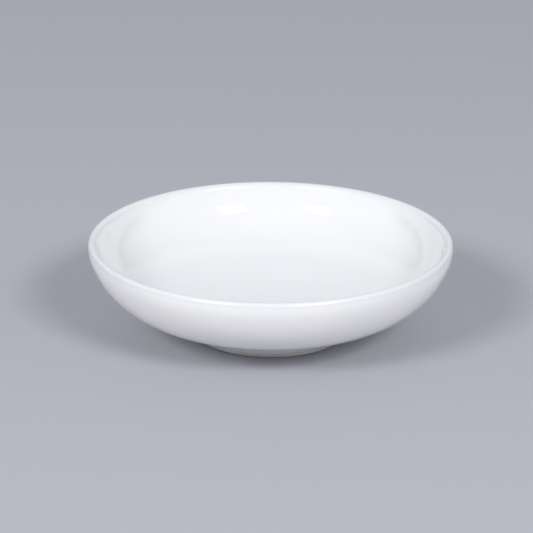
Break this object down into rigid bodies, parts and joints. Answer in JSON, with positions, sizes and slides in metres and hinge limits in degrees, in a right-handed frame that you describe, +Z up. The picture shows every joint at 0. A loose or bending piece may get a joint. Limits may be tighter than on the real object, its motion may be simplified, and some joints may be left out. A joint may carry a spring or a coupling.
{
  "type": "soy sauce dish",
  "caption": "Small round white porcelain dipping dish with a shallow coupe bowl, a rounded lip and a low foot ring, glazed except where it stands.",
  "frame": {"origin": "on the table, at the middle of the foot ring", "axes": "+Z up along the axis of the dish, X and Y anywhere round it"},
  "size_m": [0.1, 0.1, 0.0266],
  "materials": {
    "fired_clay": "matt fired porcelain, hidden under the glaze",
    "bare_foot": "bare fired porcelain, fine-grained and slightly rough",
    "inside_glaze": "clear glossy glaze over white porcelain",
    "outside_glaze": "clear glossy glaze over white porcelain",
    "base_glaze": "clear glossy glaze over white porcelain, with faint turning marks"
  },
  "bodies": {
    "root": {"body": "fired_clay", "foot_ring": "bare_foot", "inside_glaze": "inside_glaze", "outside_glaze": "outside_glaze", "base_glaze": "base_glaze"}
  },
  "joints": []
}
